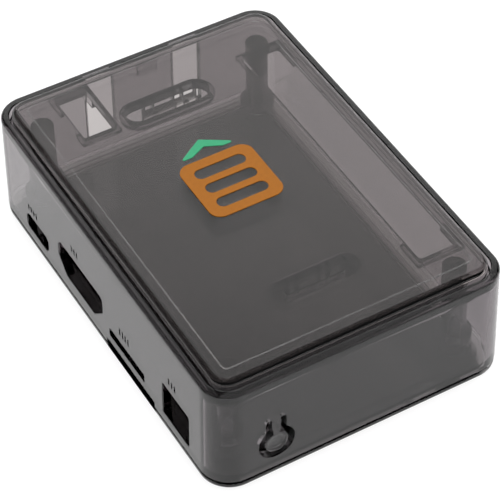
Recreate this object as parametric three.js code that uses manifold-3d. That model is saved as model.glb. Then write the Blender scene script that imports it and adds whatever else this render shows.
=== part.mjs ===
// Snap-lid enclosure for a 69 x 48 mm single board computer, moulded in smoke tinted clear plastic.
// Millimetres, +Z up. Origin: centre of the footprint, on the face the case rests on.
// -Y is the long wall with the power, card, video and data ports, +X the short wall with the
// power button, -X the short wall with the two upright ports, +Y the pin header side.
import * as THREE from 'three';
import { mergeVertices } from 'three/addons/utils/BufferGeometryUtils.js';
import Module from 'manifold-3d';

const wasm = await Module();
wasm.setup();

// ---- shared dimensions ----------------------------------------------------------------------
// walls
const TOP_L = 77.6;                      // outside of the walls at the rim, along X
const TOP_W = 54.0;                      // and along Y
const RIM_Z = 21.4;
const DRAFT = 0.44;                      // the foot of the walls stands out this much per side
const CORNER_R = 5.0;                    // outer corner radius at the rim
const WALL = 1.5;
const COVER_T = 0.9;                     // visible edge of the bottom cover
const SEAM = 0.45;                       // shadow gap between cover and walls
const WALL_Z0 = COVER_T + SEAM;          // underside of the walls

// inner deck, and the lid that sits in the recess above it
const DECK_Z = 19.8;
const RECESS = { x: 37.3, y: 25.65, r: 3.6 };      // half sizes and corner radius
const LID_GAP = 0.45;
const LID = { x: RECESS.x - LID_GAP, y: RECESS.y - LID_GAP, r: 3.3 };
const LID_Z = 22.5;
const LID_T = 1.4;

// screw posts: the board's 63 x 42 mm mounting holes
const HOLE_X = 63 / 2;
const HOLE_Y = 42 / 2;
const CORNERS = [
  { label: 'front_left', x: -HOLE_X, y: -HOLE_Y },
  { label: 'front_right', x: HOLE_X, y: -HOLE_Y },
  { label: 'rear_right', x: HOLE_X, y: HOLE_Y },
  { label: 'rear_left', x: -HOLE_X, y: HOLE_Y },
];

// finger notch under the card slot, through the foot of the -Y wall
const NOTCH = { x0: 2.3, x1: 18.9, z1: 2.55 };

// power button, drawn in (y, z)
const BTN_Y = -16.4;
const BTN_Z = 7.0;
const BTN_R = 2.15;
const BTN_SLOT = 1.1;                    // width of the slot round the button
const BTN_STEM = 0.72;                   // half width of the stem
const BTN_TOP = 12.4;                    // top of the slot's two prongs
const PRONG_R = BTN_SLOT / 2;
const PRONG_Z = BTN_TOP - PRONG_R;       // where the prongs' round ends start
const BTN_SEG = 20;
const X_WALL_CUT = [36, 41];             // x range that spans the +X wall

// slack by which cutters run past the faces they open
const PAST = 1;

// ---- solid helpers --------------------------------------------------------------------------
function toManifold(geometry) {
  geometry.deleteAttribute('normal');
  geometry.deleteAttribute('uv');
  const merged = mergeVertices(geometry, 1e-4);
  return new wasm.Manifold(new wasm.Mesh({
    numProp: 3,
    vertProperties: new Float32Array(merged.attributes.position.array),
    triVerts: new Uint32Array(merged.index.array),
  }));
}

function toGeometry(solid) {
  const mesh = solid.getMesh();
  const geometry = new THREE.BufferGeometry();
  const positions = new Float32Array(mesh.vertProperties);
  geometry.setAttribute('position', new THREE.BufferAttribute(positions, 3));
  geometry.setIndex(new THREE.BufferAttribute(new Uint32Array(mesh.triVerts), 1));
  geometry.computeVertexNormals();
  return geometry;
}

const add = (base, ...others) => others.reduce((sum, other) => sum.add(other), base);
const cut = (base, ...tools) => tools.reduce((rest, tool) => rest.subtract(tool), base);

// Closed solid through a stack of outlines that all have the same number of points.
// Each end is capped by a fan from the Z axis.
function loft(rings) {
  const count = rings[0].pts.length;
  const positions = [];
  const index = [];
  for (const { z, pts } of rings) {
    for (const [x, y] of pts) positions.push(x, y, z);
  }
  for (let k = 0; k + 1 < rings.length; k++) {
    for (let i = 0; i < count; i++) {
      const here = k * count + i;
      const next = k * count + (i + 1) % count;
      index.push(here, next, next + count, here, next + count, here + count);
    }
  }
  const centre = positions.length / 3;
  const top = (rings.length - 1) * count;
  positions.push(0, 0, rings[0].z, 0, 0, rings[rings.length - 1].z);
  for (let i = 0; i < count; i++) {
    const next = (i + 1) % count;
    index.push(centre, next, i);
    index.push(centre + 1, top + i, top + next);
  }
  const geometry = new THREE.BufferGeometry();
  geometry.setAttribute('position', new THREE.Float32BufferAttribute(positions, 3));
  geometry.setIndex(index);
  return toManifold(geometry);
}

function box(x0, x1, y0, y1, z0, z1) {
  const geometry = new THREE.BoxGeometry(x1 - x0, y1 - y0, z1 - z0);
  geometry.translate((x0 + x1) / 2, (y0 + y1) / 2, (z0 + z1) / 2);
  return toManifold(geometry);
}

// upright cylinder
function cylinder({ x, y }, r, z0, z1, seg = 24) {
  const geometry = new THREE.CylinderGeometry(r, r, z1 - z0, seg);
  geometry.rotateX(Math.PI / 2);
  geometry.translate(x, y, (z0 + z1) / 2);
  return toManifold(geometry);
}

const extrude = (shape, depth, curveSegments) =>
  new THREE.ExtrudeGeometry(shape, { depth, bevelEnabled: false, curveSegments });

// an outline drawn in (x, y), extruded along Z
function prism(shape, z0, z1, seg) {
  return toManifold(extrude(shape, z1 - z0, seg).translate(0, 0, z0));
}

// an outline drawn in (x, z), extruded along Y
function throughY(shape, y0, y1) {
  return toManifold(extrude(shape, y1 - y0, 6).rotateX(Math.PI / 2).translate(0, y1, 0));
}

// an outline drawn in (y, z), extruded along X
function throughX(shape, x0, x1, seg = 6) {
  const geometry = extrude(shape, x1 - x0, seg);
  geometry.rotateX(Math.PI / 2);
  geometry.rotateZ(Math.PI / 2);
  return toManifold(geometry.translate(x0, 0, 0));
}

// ---- outlines -------------------------------------------------------------------------------
// points of a centred rectangle with rounded corners, anticlockwise
function roundRect(halfX, halfY, r, seg = 8) {
  const pts = [];
  const x = halfX - r;
  const y = halfY - r;
  for (const [cx, cy, start] of [[x, y, 0], [-x, y, 90], [-x, -y, 180], [x, -y, 270]]) {
    for (let i = 0; i <= seg; i++) {
      const angle = THREE.MathUtils.degToRad(start + 90 * i / seg);
      pts.push([cx + r * Math.cos(angle), cy + r * Math.sin(angle)]);
    }
  }
  return pts;
}

function poly(points) {
  return new THREE.Shape(points.map(([x, y]) => new THREE.Vector2(x, y)));
}

// slot with round ends, its long axis along Y
function stadium(x, y, halfX, halfY) {
  const shape = new THREE.Shape();
  shape.moveTo(x + halfX, y - halfY + halfX);
  shape.lineTo(x + halfX, y + halfY - halfX);
  shape.absarc(x, y + halfY - halfX, halfX, 0, Math.PI, false);
  shape.lineTo(x - halfX, y - halfY + halfX);
  shape.absarc(x, y - halfY + halfX, halfX, Math.PI, 2 * Math.PI, false);
  return shape;
}

// rectangle with rounded corners, anticlockwise
function roundShape(x0, x1, y0, y1, r) {
  const shape = new THREE.Shape();
  shape.moveTo(x0 + r, y0);
  shape.lineTo(x1 - r, y0);
  shape.absarc(x1 - r, y0 + r, r, -Math.PI / 2, 0, false);
  shape.lineTo(x1, y1 - r);
  shape.absarc(x1 - r, y1 - r, r, 0, Math.PI / 2, false);
  shape.lineTo(x0 + r, y1);
  shape.absarc(x0 + r, y1 - r, r, Math.PI / 2, Math.PI, false);
  shape.lineTo(x0, y0 + r);
  shape.absarc(x0 + r, y0 + r, r, Math.PI, 1.5 * Math.PI, false);
  return shape;
}

// ---- rings that follow the drafted walls ----------------------------------------------------
const lean = (z) => DRAFT * (1 - z / RIM_Z);       // how far the wall has moved out at height z

function wallRing(z, inset) {
  const grow = lean(z) - inset;
  return { z, pts: roundRect(TOP_L / 2 + grow, TOP_W / 2 + grow, CORNER_R + grow) };
}

const wallBlock = (z0, z1, inset) => loft([wallRing(z0, inset), wallRing(z1, inset)]);

// rings of a rounded top edge; rows are [drop below the top, inset], in edge radii
const EDGE_STEPS = [[1, 0], [0.62, 0.08], [0.29, 0.29], [0.08, 0.62], [0, 1]];
const roundedEdge = (ringAt, topZ, r) =>
  EDGE_STEPS.map(([drop, inset]) => ringAt(topZ - r * drop, r * inset));

// ---- upper shell ----------------------------------------------------------------------------
const RIM_EDGE_R = 0.55;
const DECK_T = 1.1;
const RIB_T = 0.75;
const RIB_H = 0.9;                       // ribs under the deck, round its openings
const RIB_TOP = DECK_Z - 0.4;
const RIB_BOTTOM = DECK_Z - DECK_T - RIB_H;
const RIB_OVERLAP = 0.3;                 // ribs start inside the opening that trims them
const DECK_CUT = [10, RIM_Z + PAST];     // z range of the cutters for the deck's openings

// latch wells
const WELLS = [{ x: -25.73, y: 0 }, { x: 22.97, y: 0.3 }];
const WELL_HALF_X = 2.33;
const WELL_HALF_Y = 7.9;
const WELL_RIB_T = 1.0;
const WELL_SEG = 10;

// Openings in the deck. The ribs run past the -X end by leftExtra, and the rib along each long
// side is left out between the two x values of its gap.
const WINDOW = {
  x0: -36.0, x1: -24.6, y0: -16.4, y1: -10.4,
  leftExtra: 0.5, lowGap: [-32.4, -26.6],
};
const HEADER = {
  x0: -29.2, x1: 27.9, y0: 16.7, y1: 24.1,
  leftExtra: 0.3, lowGap: [-23.6, 23.2], highGap: [-23.8, 22.6],
};
const HEADER_R = 0.7;
const TAB_X1 = -33.9;                    // short tab hanging from the window's +Y rib
const TAB_DROP = 1.5;

const POST_R = 2.0;
const FOOT_R = 3.05;                     // wider foot that clamps the board
const FOOT_Z0 = 4.3;
const FOOT_Z1 = 5.9;
const PILOT_R = 1.35;
const PILOT_Z = 13.0;

// wedge pad on the inside of the -X wall, between the upright ports, as [x, z]
const WEDGE = [[-38.2, 19.0], [-38.2, 15.6], [-36.85, 16.0], [-36.75, 19.0]];
const WEDGE_Y = [0.2, 3.9];

// openings in the -Y wall, drawn in (x, z)
const VIDEO_OUTLINE = [
  [-14.7, 7.0], [-11.9, 4.2], [-1.9, 4.2], [1.0, 6.9],
  [1.0, 9.7], [0.4, 10.3], [-13.9, 10.3], [-14.7, 9.5],
];
const NOTCH_OUTLINE = [[NOTCH.x0, 0], [NOTCH.x1, 0], [NOTCH.x1, NOTCH.z1], [NOTCH.x0, NOTCH.z1]];
const FRONT_OPENINGS = [
  roundShape(-27.0, -19.0, 3.45, 6.6, 1.05),       // data
  poly(VIDEO_OUTLINE),
  roundShape(3.5, 15.5, 4.1, 5.8, 0.2),            // card
  poly(NOTCH_OUTLINE),
  roundShape(21.8, 30.3, 3.35, 10.2, 0.25),        // power
];
const FRONT_CUT = [-30, -24.6];          // y range

// upright ports in the -X wall
const UPRIGHT = { centres: [-7.0, 10.15], halfY: 2.75, z0: 4.6, z1: 19.0, r: 0.3 };
const UPRIGHT_CUT = [-41, -36.9];        // x range

function openingRibs({ x0, x1, y0, y1, leftExtra, lowGap, highGap }) {
  const left = x0 - RIB_T - leftExtra;
  const right = x1 + RIB_T;
  const low = y0 - RIB_T;
  const high = y1 + RIB_T;
  const rib = (...sides) => box(...sides, RIB_BOTTOM, RIB_TOP);
  const spans = (gap) => (gap ? [[left, gap[0]], [gap[1], right]] : [[left, right]]);
  return [
    rib(x1 - RIB_OVERLAP, right, low, high),
    rib(left, x0 + RIB_OVERLAP, low, high),
    ...spans(lowGap).map(([from, to]) => rib(from, to, low, y0 + RIB_OVERLAP)),
    ...spans(highGap).map(([from, to]) => rib(from, to, y1 - RIB_OVERLAP, high)),
  ];
}

function windowTab() {
  const { x0, y1, leftExtra } = WINDOW;
  return box(x0 - RIB_T - leftExtra, TAB_X1, y1 - RIB_OVERLAP, y1 + RIB_T,
    RIB_BOTTOM - TAB_DROP, RIB_TOP);
}

function wellPrism({ x, y }, margin, z0, z1) {
  return prism(stadium(x, y, WELL_HALF_X + margin, WELL_HALF_Y + margin), z0, z1, WELL_SEG);
}

// slot round the power button: a ring with two round-ended prongs beside the stem
function buttonSlot() {
  const ringR = BTN_R + BTN_SLOT;
  const neck = BTN_STEM + BTN_SLOT;
  const neckAngle = Math.asin(neck / ringR);
  const neckZ = BTN_Z + ringR * Math.cos(neckAngle);
  const prongY = BTN_STEM + PRONG_R;
  const shape = new THREE.Shape();
  shape.moveTo(BTN_Y + neck, neckZ);
  shape.lineTo(BTN_Y + neck, PRONG_Z);
  shape.absarc(BTN_Y + prongY, PRONG_Z, PRONG_R, 0, Math.PI, false);
  shape.lineTo(BTN_Y - BTN_STEM, PRONG_Z);
  shape.absarc(BTN_Y - prongY, PRONG_Z, PRONG_R, 0, Math.PI, false);
  shape.lineTo(BTN_Y - neck, neckZ);
  shape.absarc(BTN_Y, BTN_Z, ringR, Math.PI / 2 + neckAngle, Math.PI * 2.5 - neckAngle, false);
  return throughX(shape, ...X_WALL_CUT, BTN_SEG);
}

function wallOpenings() {
  const { centres, halfY, z0, z1, r } = UPRIGHT;
  return [
    ...FRONT_OPENINGS.map((shape) => throughY(shape, ...FRONT_CUT)),
    ...centres.map((y) =>
      throughX(roundShape(y - halfY, y + halfY, z0, z1, r), ...UPRIGHT_CUT)),
    buttonSlot(),
  ];
}

function upperShell() {
  const outer = loft([wallRing(WALL_Z0, 0), ...roundedEdge(wallRing, RIM_Z, RIM_EDGE_R)]);
  const cavity = wallBlock(WALL_Z0 - PAST, DECK_Z - DECK_T, WALL);
  const recessPts = roundRect(RECESS.x, RECESS.y, RECESS.r);
  const recess = loft([{ z: DECK_Z, pts: recessPts }, { z: RIM_Z + PAST, pts: recessPts }]);
  const body = add(
    cut(outer, cavity, recess),
    ...WELLS.map((well) => wellPrism(well, WELL_RIB_T, RIB_BOTTOM, RIB_TOP)),
    ...openingRibs(WINDOW),
    windowTab(),
    ...openingRibs(HEADER),
    ...CORNERS.map((at) => cylinder(at, POST_R, FOOT_Z1 - 0.2, RIB_TOP)),
    ...CORNERS.map((at) => cylinder(at, FOOT_R, FOOT_Z0, FOOT_Z1)),
    throughY(poly(WEDGE), ...WEDGE_Y),
  );
  const header = roundShape(HEADER.x0, HEADER.x1, HEADER.y0, HEADER.y1, HEADER_R);
  return cut(
    body,
    ...WELLS.map((well) => wellPrism(well, 0, ...DECK_CUT)),
    box(WINDOW.x0, WINDOW.x1, WINDOW.y0, WINDOW.y1, ...DECK_CUT),
    prism(header, ...DECK_CUT, 4),
    ...CORNERS.map((at) => cylinder(at, PILOT_R, 0, PILOT_Z, 16)),
    ...wallOpenings(),
  );
}

// ---- power button: a dished paddle on a thin stem, flush with the wall ----------------------
const STEM_GAP = 0.3;                    // the stem stops this far below the wall above it
const DISH_R = 1.6;
const DISH_DEPTH = 0.15;
const SWITCH_BOSS_R = 1.1;
const SWITCH_BOSS_L = 1.1;
const SWITCH_BOSS_ROOT = 0.3;            // how far the boss is sunk into the paddle

function paddleShape() {
  const neckAngle = Math.asin(BTN_STEM / BTN_R);
  const neckZ = BTN_Z + BTN_R * Math.cos(neckAngle);
  const shape = new THREE.Shape();
  shape.moveTo(BTN_Y + BTN_STEM, neckZ);
  shape.lineTo(BTN_Y + BTN_STEM, PRONG_Z - STEM_GAP);
  shape.lineTo(BTN_Y - BTN_STEM, PRONG_Z - STEM_GAP);
  shape.lineTo(BTN_Y - BTN_STEM, neckZ);
  shape.absarc(BTN_Y, BTN_Z, BTN_R, Math.PI / 2 + neckAngle, Math.PI * 2.5 - neckAngle, false);
  return shape;
}

// disc on the button's axis, which runs along X
function buttonDisc(r, x0, x1) {
  const geometry = new THREE.CylinderGeometry(r, r, x1 - x0, 28);
  geometry.rotateZ(Math.PI / 2);
  geometry.translate((x0 + x1) / 2, BTN_Y, BTN_Z);
  return toManifold(geometry);
}

function powerButton() {
  const wallTube = cut(wallBlock(0, RIM_Z, 0), wallBlock(-PAST, RIM_Z + PAST, WALL));
  const paddle = throughX(paddleShape(), ...X_WALL_CUT, BTN_SEG).intersect(wallTube);
  const faceX = TOP_L / 2 + lean(BTN_Z);
  const backX = faceX - WALL;
  const dish = buttonDisc(DISH_R, faceX - DISH_DEPTH, faceX + PAST);
  // the boss behind the paddle reaches for the board's switch
  const boss = buttonDisc(SWITCH_BOSS_R, backX - SWITCH_BOSS_L, backX + SWITCH_BOSS_ROOT);
  return add(cut(paddle, dish), boss);
}

// ---- bottom cover ---------------------------------------------------------------------------
const COVER_INSET = 0.12;                // cover edge, in from the wall face
const COVER_EDGE = [[0, 0.45], [0.22, 0.12], [0.5, 0], [COVER_T, 0]];    // [z, further inset]
const FLOOR_T = 1.5;
const STEP_GAP = 0.3;                    // floor step to the inside of the wall
const LIP_T = 1.0;
const LIP_Z = 2.2;
const LIP_INSET = WALL + 1.9;            // outer face of the lip, in from the wall face
const LIP_NOTCH_INSET = 0.3;             // the lip's notch is narrower than the wall's, per side
const BOSS_R = 3.2;
const BOSS_Z = 2.7;
const SHANK_HOLE_R = 1.5;
const HEAD_POCKET_R = 2.7;
const HEAD_POCKET_Z = 1.5;

function bottomCover() {
  const plate = loft(COVER_EDGE.map(([z, inset]) => wallRing(z, COVER_INSET + inset)));
  const rootZ = COVER_T - 0.1;
  const step = wallBlock(rootZ, FLOOR_T, WALL + STEP_GAP);
  const lip = wallBlock(rootZ, LIP_Z, LIP_INSET);
  const insideLip = wallBlock(FLOOR_T, LIP_Z + PAST, LIP_INSET + LIP_T);
  const lipNotch = box(NOTCH.x0 + LIP_NOTCH_INSET, NOTCH.x1 - LIP_NOTCH_INSET, -30, -21.8,
    COVER_T, LIP_Z + PAST);
  const tray = cut(add(plate, step, lip), insideLip, lipNotch);
  const bosses = CORNERS.map((at) => cylinder(at, BOSS_R, FLOOR_T - 0.3, BOSS_Z));
  return cut(
    add(tray, ...bosses),
    ...CORNERS.map((at) => cylinder(at, SHANK_HOLE_R, -PAST, BOSS_Z + PAST, 16)),
    ...CORNERS.map((at) => cylinder(at, HEAD_POCKET_R, -PAST, HEAD_POCKET_Z)),
  );
}

// ---- lid ------------------------------------------------------------------------------------
const LID_BOTTOM = DECK_Z + 0.3;
const LID_EDGE_R = 1.0;
const LID_SKIRT = 0.7;                   // thickness of the lid's side wall
const FIELD = { x: 34.2, y: 22.7, r: 1.0 };        // raised field on top, half sizes
const FIELD_H = 0.16;
const FIELD_TAPER = 0.18;

function lidRing(z, inset) {
  return { z, pts: roundRect(LID.x - inset, LID.y - inset, LID.r - inset) };
}

function fieldRing(z, inset) {
  return { z, pts: roundRect(FIELD.x - inset, FIELD.y - inset, FIELD.r) };
}

function lidPanel() {
  const panel = loft([lidRing(LID_BOTTOM, 0), ...roundedEdge(lidRing, LID_Z, LID_EDGE_R)]);
  const field = loft([
    fieldRing(LID_Z - 0.3, 0),
    fieldRing(LID_Z, 0),
    fieldRing(LID_Z + FIELD_H, FIELD_TAPER),
  ]);
  const hollow = loft([
    lidRing(LID_BOTTOM - PAST, LID_SKIRT),
    lidRing(LID_Z - LID_T, LID_SKIRT),
  ]);
  return cut(add(panel, field), hollow);
}

// ---- latch tongues under the lid ------------------------------------------------------------
const LATCH_T = 1.0;
const LATCH_Z0 = 15.4;
const LATCH_Z1 = LID_Z - LID_T - 0.3;
const SILL_Z = 18.8;                     // the legs start here, with windows between them
const CATCH_STARTS = [-3.5, 2.5];        // along Y, from the tongue's middle
const CATCH_W = 0.9;
const CATCH_OUT = 0.5;

// windows are [y0, y1]
const LATCH_FAR = {
  x0: -26.5, y0: -4.7, y1: 5.7,
  windows: [[-4.35, -2.95], [-2.6, 1.0], [1.35, 2.75], [3.1, 5.3]],
};
const LATCH_NEAR = {
  x0: 22.0, y0: -5.0, y1: 5.9,
  windows: [[-4.65, -3.2], [-2.85, 0.8], [1.15, 2.6], [2.95, 5.5]],
};

function latch({ x0, y0, y1, windows }) {
  const x1 = x0 + LATCH_T;
  const middle = (y0 + y1) / 2;
  const tongue = box(x0, x1, y0, y1, LATCH_Z0 + 0.7, LATCH_Z1);
  // lead-in at the foot, in (x, z)
  const leadIn = poly([
    [x0, LATCH_Z0 + 0.8], [x0 + 0.3, LATCH_Z0],
    [x1 - 0.2, LATCH_Z0], [x1, LATCH_Z0 + 0.8],
  ]);
  // catch on the +X face, in (x, z)
  const catchShape = poly([
    [x1 - 0.2, SILL_Z - 0.3], [x1 + CATCH_OUT, SILL_Z - 0.3],
    [x1 + CATCH_OUT, SILL_Z - 0.9], [x1 - 0.2, SILL_Z - 1.7],
  ]);
  const legs = cut(
    add(tongue, throughY(leadIn, y0, y1)),
    ...windows.map(([from, to]) =>
      box(x0 - PAST, x1 + PAST, from, to, SILL_Z, LATCH_Z1 + PAST)),
  );
  return add(legs, ...CATCH_STARTS.map((start) =>
    throughY(catchShape, middle + start, middle + start + CATCH_W)));
}

// ---- case screws: cross-slotted heads down, tips up -----------------------------------------
// half profile, [radius, z]
const SCREW_PROFILE = [
  [0, 0.25], [1.5, 0.25], [1.95, 0.45], [2.2, 0.8], [2.2, 1.4],
  [1.12, 1.4], [1.12, 7.6], [0.6, 8.7], [0, 9.0],
];
const CROSS = { halfL: 1.1, halfW: 0.24, z1: 0.95 };

function caseScrew({ x, y }) {
  const { halfL, halfW, z1 } = CROSS;
  const profile = SCREW_PROFILE.map(([r, z]) => new THREE.Vector2(r, z));
  const turned = toManifold(new THREE.LatheGeometry(profile, 20).rotateX(Math.PI / 2));
  return cut(
    turned,
    box(-halfL, halfL, -halfW, halfW, 0, z1),
    box(-halfW, halfW, -halfL, halfL, 0, z1),
  ).translate([x, y, 0]);
}

// ---- printed device on the lid: a slotted square, with a chevron on its -X side -------------
const PRINT_Z0 = LID_Z + FIELD_H + 0.02;
const PRINT_Z1 = PRINT_Z0 + 0.12;
const MARK = { x: -1.15, y: -1.3, half: 6.8, r: 2.2 };
const MARK_SLOT = { pitch: 3.7, halfX: 1.15, halfY: 4.7, r: 1.1 };
const CHEVRON_TIP_X = MARK.x - MARK.half - 4.4;
// [x, y] from the tip
const CHEVRON = [[3.3, 5.2], [3.3, 2.9], [1.9, 0], [3.3, -2.9], [3.3, -5.2], [0, 0]];

function printSquare() {
  const { x, y, half, r } = MARK;
  const slot = MARK_SLOT;
  const square = roundShape(x - half, x + half, y - half, y + half, r);
  for (const i of [-1, 0, 1]) {
    const slotX = x + i * slot.pitch;
    const outline = roundShape(slotX - slot.halfX, slotX + slot.halfX,
      y - slot.halfY, y + slot.halfY, slot.r);
    // holes run clockwise
    square.holes.push(new THREE.Path(outline.getPoints(5).reverse()));
  }
  return prism(square, PRINT_Z0, PRINT_Z1, 5);
}

function printChevron() {
  const points = CHEVRON.map(([x, y]) => [CHEVRON_TIP_X + x, MARK.y + y]);
  return prism(poly(points), PRINT_Z0, PRINT_Z1, 4);
}

// ---- materials ------------------------------------------------------------------------------
const smoke = ({ color, opacity }) => new THREE.MeshStandardMaterial({
  color, roughness: 0.08, metalness: 0, transparent: true, opacity,
});
const ink = (color) => new THREE.MeshStandardMaterial({ color, roughness: 0.45, metalness: 0 });
const steel = () => new THREE.MeshStandardMaterial({
  color: 0x8e9094, roughness: 0.35, metalness: 0.9,
});

// ---- scene graph ----------------------------------------------------------------------------
const part = new THREE.Group();

function put(name, solid, material) {
  const mesh = new THREE.Mesh(toGeometry(solid), material);
  mesh.name = name;
  part.add(mesh);
}

put('bottom_cover', bottomCover(), smoke({ color: 0x4a4948, opacity: 0.7 }));
put('upper_shell', upperShell(), smoke({ color: 0x5a5856, opacity: 0.55 }));
put('power_button', powerButton(), smoke({ color: 0x5a5856, opacity: 0.6 }));
put('lid_panel', lidPanel(), smoke({ color: 0x625d5b, opacity: 0.5 }));
put('lid_latch_far', latch(LATCH_FAR), smoke({ color: 0x4c4a48, opacity: 0.65 }));
put('lid_latch_near', latch(LATCH_NEAR), smoke({ color: 0x4c4a48, opacity: 0.65 }));
put('lid_print_square', printSquare(), ink(0xb27230));
put('lid_print_chevron', printChevron(), ink(0x40aa79));
for (const corner of CORNERS) {
  put('case_screw_' + corner.label, caseScrew(corner), steel());
}

export default part;
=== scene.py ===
# Clear, smoke-tinted enclosure for a small single board computer.
# It lies flat with its foot at z = 0: length along X, width along Y, front wall with its ports on
# -Y, power button on +X. Shapes are drawn in millimetres and scaled to metres by finish_mesh.
# The stage, the world and the camera are in metres.
import math

import bmesh
import bpy
import numpy as np
from mathutils import Matrix, Vector


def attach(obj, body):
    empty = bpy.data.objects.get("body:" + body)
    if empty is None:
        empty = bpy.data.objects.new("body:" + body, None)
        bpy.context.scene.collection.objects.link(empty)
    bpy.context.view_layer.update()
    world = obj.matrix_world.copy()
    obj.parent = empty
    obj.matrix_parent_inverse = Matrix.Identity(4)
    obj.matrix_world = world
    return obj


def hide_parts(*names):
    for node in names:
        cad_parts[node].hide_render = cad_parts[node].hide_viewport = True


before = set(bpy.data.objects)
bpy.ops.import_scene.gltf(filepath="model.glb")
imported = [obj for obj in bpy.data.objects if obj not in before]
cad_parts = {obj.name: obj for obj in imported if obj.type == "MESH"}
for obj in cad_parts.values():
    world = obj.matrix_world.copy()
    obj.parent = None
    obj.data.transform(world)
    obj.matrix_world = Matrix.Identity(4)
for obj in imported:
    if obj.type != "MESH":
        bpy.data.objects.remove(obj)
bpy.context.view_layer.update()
CORNER_STEPS = 24     # segments in a quarter of a corner
FILLET_STEPS = 8

# ---- driving dimensions, mm ---------------------------------------------------------------------
# case: outline at the rim, walls leaning outwards towards the foot
TOP_L, TOP_W, RIM_Z = 77.6, 54.0, 21.4
DRAFT, OUTER_R, WALL = 0.44, 5.0, 1.5
COVER_T, SEAM = 0.9, 0.45
WALL_Z0 = COVER_T + SEAM
CUT_DEPTH = WALL + 0.8                 # how deep the wall cutters reach

# deck: the floor of the recess under the lid
DECK_Z, DECK_T = 19.8, 1.1
RECESS_X, RECESS_Y, RECESS_R = 37.3, 25.65, 3.6      # half length, half width, corner
RIB_T, RIB_H = 0.75, 0.9
RIB_TOP, RIB_BOTTOM = DECK_Z - 0.4, DECK_Z - DECK_T - RIB_H
RIB_LAP = 0.3                          # how far a rib reaches into its window before the cut
WELLS = [(-25.73, 0.0), (22.97, 0.3)]  # centres of the two round-ended openings
WELL_HALF_X, WELL_HALF_Y = 2.33, 7.9
SMALL_WINDOW = (-36.0, -24.6, -16.4, -10.4)          # x0, x1, y0, y1
LONG_WINDOW = (-29.2, 27.9, 16.7, 24.1)

# screw posts under the deck, and their bosses in the cover
HOLE_X, HOLE_Y = 31.5, 21.0
HOLES = {
    "front_left": (-HOLE_X, -HOLE_Y),
    "front_right": (HOLE_X, -HOLE_Y),
    "rear_right": (HOLE_X, HOLE_Y),
    "rear_left": (-HOLE_X, HOLE_Y),
}
POST_R, FOOT_R, FOOT_Z0, FOOT_Z1 = 2.0, 3.05, 4.3, 5.9
PILOT_R, PILOT_Z = 1.35, 13.0
BOSS_R, BOSS_Z = 3.2, 2.7
SHANK_R, POCKET_R, POCKET_Z = 1.5, 2.7, 1.5

# cover: its edge stands in from the wall, and a lip rises inside
COVER_INSET = 0.12
FLOOR_T, LIP_T, LIP_Z, LIP_GAP = 1.5, 1.0, 2.2, 1.9
LIP_INSET = WALL + LIP_GAP - COVER_INSET
STEP_INSET = WALL + 0.3 - COVER_INSET

# lid: half length, half width, corner; then heights
LID_X, LID_Y, LID_R = 36.85, 25.2, 3.3
LID_Z, LID_T, LID_SKIRT, LID_BOTTOM, LID_FILLET = 22.5, 1.4, 0.7, 20.1, 1.0
LID_CEILING = LID_Z - LID_T
FIELD_X, FIELD_Y, FIELD_R, FIELD_H = 34.2, 22.7, 1.0, 0.16

# latch tongues under the lid: x0, x1, y0, y1, then the windows at the root as (y0, y1)
LATCH_Z0, LATCH_Z1 = 15.4, LID_CEILING - 0.02
SILL = 18.8                            # lower edge of the windows
FAR_LATCH = (-26.5, -25.5, -4.7, 5.7, [(-4.35, -2.95), (-2.6, 1.0), (1.35, 2.75), (3.1, 5.3)])
NEAR_LATCH = (22.0, 23.0, -5.0, 5.9, [(-4.65, -3.2), (-2.85, 0.8), (1.15, 2.6), (2.95, 5.5)])

# power button in the +X wall: a round paddle on a stem, and the slot round it
BUTTON_Y, BUTTON_Z, PADDLE_R, PADDLE_STEM = -16.4, 7.0, 2.15, 0.72
SLOT, SLOT_TOP = 1.1, 12.4
KEY_R, KEY_STEM, PRONG_R = PADDLE_R + SLOT, PADDLE_STEM + SLOT, SLOT / 2
PRONG_Z = SLOT_TOP - PRONG_R
STEM_TOP = PRONG_Z - 0.02


def lean(z):
    """How far the drafted wall stands outside the rim's outline at height z."""
    return DRAFT * (1 - z / RIM_Z)


# ---- outlines, anticlockwise --------------------------------------------------------------------
def rect(x0, x1, y0, y1):
    return [(x0, y0), (x1, y0), (x1, y1), (x0, y1)]


def round_rect(x0, x1, y0, y1, radius, steps=CORNER_STEPS):
    corners = (
        (x1 - radius, y1 - radius, 0),
        (x0 + radius, y1 - radius, 90),
        (x0 + radius, y0 + radius, 180),
        (x1 - radius, y0 + radius, 270),
    )
    points = []
    for x, y, start in corners:
        for i in range(steps + 1):
            angle = math.radians(start + 90 * i / steps)
            points.append((x + radius * math.cos(angle), y + radius * math.sin(angle)))
    return points


def centred_rect(half_x, half_y, radius, inset):
    return round_rect(-half_x + inset, half_x - inset, -half_y + inset, half_y - inset,
                      radius - inset)


def wall_ring(inset, z):
    """The case's outline at height z, moved inwards."""
    out = lean(z) - inset
    return round_rect(-TOP_L / 2 - out, TOP_L / 2 + out, -TOP_W / 2 - out, TOP_W / 2 + out,
                      OUTER_R + out)


def cover_ring(inset, z):
    return wall_ring(inset + COVER_INSET, z)


def recess_ring(inset):
    return centred_rect(RECESS_X, RECESS_Y, RECESS_R, inset)


def lid_ring(inset):
    return centred_rect(LID_X, LID_Y, LID_R, inset)


def field_ring(inset):
    return round_rect(-FIELD_X + inset, FIELD_X - inset, -FIELD_Y + inset, FIELD_Y - inset,
                      FIELD_R, 10)


def stadium(centre, half_x, half_y):
    """A slot along Y with half-round ends."""
    x, y = centre
    steps = CORNER_STEPS * 2
    angles = [math.pi * i / steps for i in range(steps + 1)]
    points = [(x + half_x * math.cos(a), y + half_y - half_x + half_x * math.sin(a))
              for a in angles]
    points += [(x - half_x * math.cos(a), y - half_y + half_x - half_x * math.sin(a))
               for a in angles]
    return points


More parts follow.
